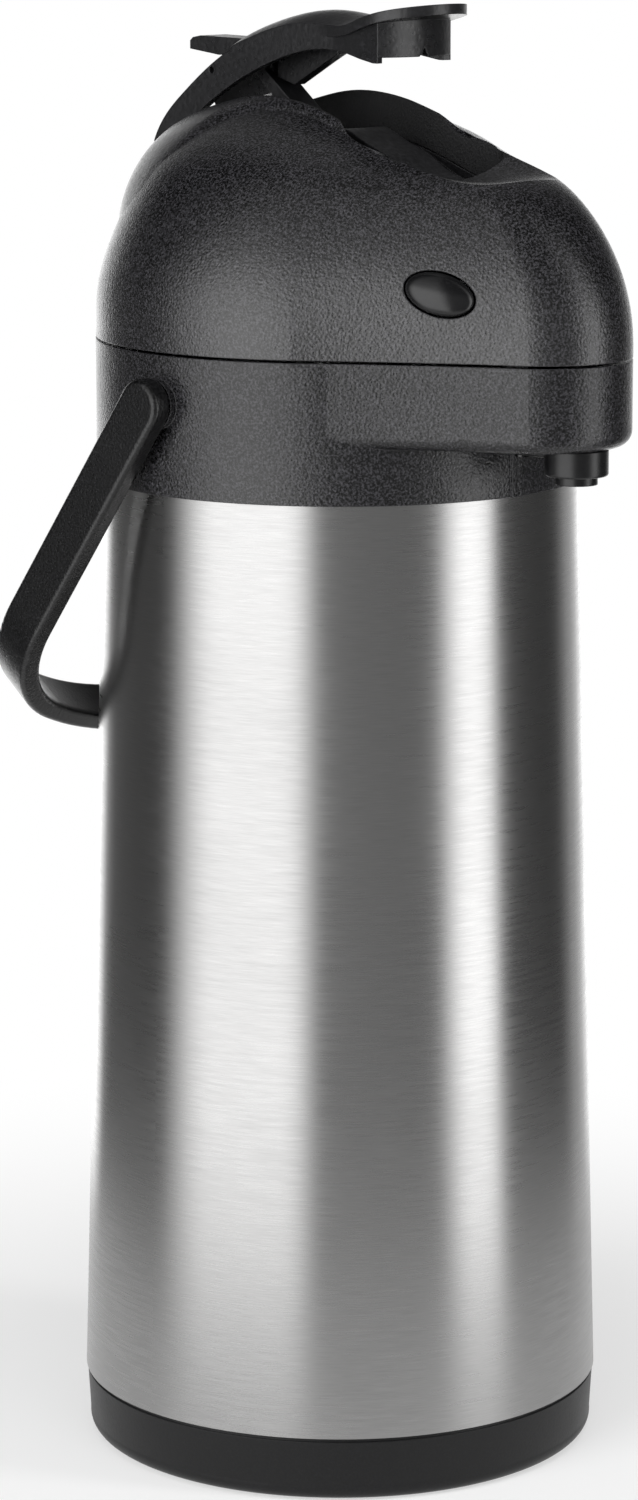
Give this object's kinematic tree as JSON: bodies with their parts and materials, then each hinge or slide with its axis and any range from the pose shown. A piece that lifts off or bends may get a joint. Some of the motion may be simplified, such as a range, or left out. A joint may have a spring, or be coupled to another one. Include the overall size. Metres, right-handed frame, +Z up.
{
  "type": "lever airpot",
  "caption": "Steel vacuum airpot with a hinged pump lid, a press lever, a spout beak and a swinging carrying bail.",
  "frame": {"origin": "on the body's axis, at the plane the pot stands on", "axes": "+Z up, the spout points along -Y, the lid's hinge is at +Y"},
  "size_m": [0.1588, 0.1938, 0.4261],
  "materials": {
    "shell_steel": "brushed round the body",
    "textured_black": "fine moulded texture",
    "smooth_black": "satin",
    "rubber_black": "matte",
    "flask_steel": "plain",
    "grey_plastic": "plain",
    "white_plastic": "natural",
    "silicone": "translucent white",
    "pin_steel": "bright"
  },
  "bodies": {
    "body": {"outer_shell": "shell_steel", "base_cup": "smooth_black", "foot_pads": "rubber_black", "base_plug": "smooth_black", "flask_cushion": "rubber_black", "flask_outer_wall": "flask_steel", "flask_bottom": "flask_steel", "flask_liner": "flask_steel", "flask_neck": "flask_steel", "neck_sleeve": "rubber_black", "collar": "textured_black", "nozzle_housing": "smooth_black", "housing_screws": "pin_steel", "nozzle_tip": "smooth_black", "spout_tube": "white_plastic", "stem_head": "grey_plastic", "stem_socket": "grey_plastic", "stem_gasket": "silicone", "dip_tube": "white_plastic", "hinge_pin": "pin_steel"},
    "bail": {"bail_handle": "textured_black"},
    "lid": {"lid_dome": "textured_black", "lever_well": "smooth_black", "lid_base_plate": "grey_plastic", "lid_gasket": "silicone", "lid_screws": "pin_steel", "bellows_seat": "grey_plastic", "valve_flap": "rubber_black", "bellows": "rubber_black", "return_spring": "pin_steel", "lever_pin": "pin_steel"},
    "plunger": {"plunger": "grey_plastic"},
    "lever": {"pump_lever": "textured_black"},
    "button_left": {"release_button_left": "smooth_black"},
    "button_right": {"release_button_right": "smooth_black"}
  },
  "joints": [
    {"name": "lid_hinge", "type": "hinge", "parent": "body", "child": "lid", "pos_m": [0, 0.0752, 0.3307], "axis": [-1, 0, 0], "range_deg": [0, 95]},
    {"name": "bail_swing", "type": "hinge", "parent": "body", "child": "bail", "pos_m": [0, 0, 0.3155], "axis": [1, 0, 0], "range_deg": [0, 141]},
    {"name": "lever_pivot", "type": "hinge", "parent": "lid", "child": "lever", "pos_m": [0, 0.0545, 0.3801], "axis": [1, 0, 0], "range_deg": [0, 19.5], "stiffness_Nm_per_rad": 3, "springref_deg": -11.46},
    {"name": "plunger_slide", "type": "slide", "parent": "lid", "child": "plunger", "axis": [0, 0, -1], "range_m": [0, 0.0193], "deforming": ["bellows", "return_spring"]},
    {"name": "button_left_slide", "type": "slide", "parent": "lid", "child": "button_left", "axis": [0.8078, 0.5449, -0.225], "range_m": [0, 0.0025], "stiffness_N_per_m": 400, "springref_m": -0.001},
    {"name": "button_right_slide", "type": "slide", "parent": "lid", "child": "button_right", "axis": [-0.8078, 0.5449, -0.225], "range_m": [0, 0.0025], "stiffness_N_per_m": 400, "springref_m": -0.001}
  ],
  "couplings": [
    {"joint": "plunger_slide", "follows": "lever_pivot", "m_per_rad": 0.0565}
  ]
}
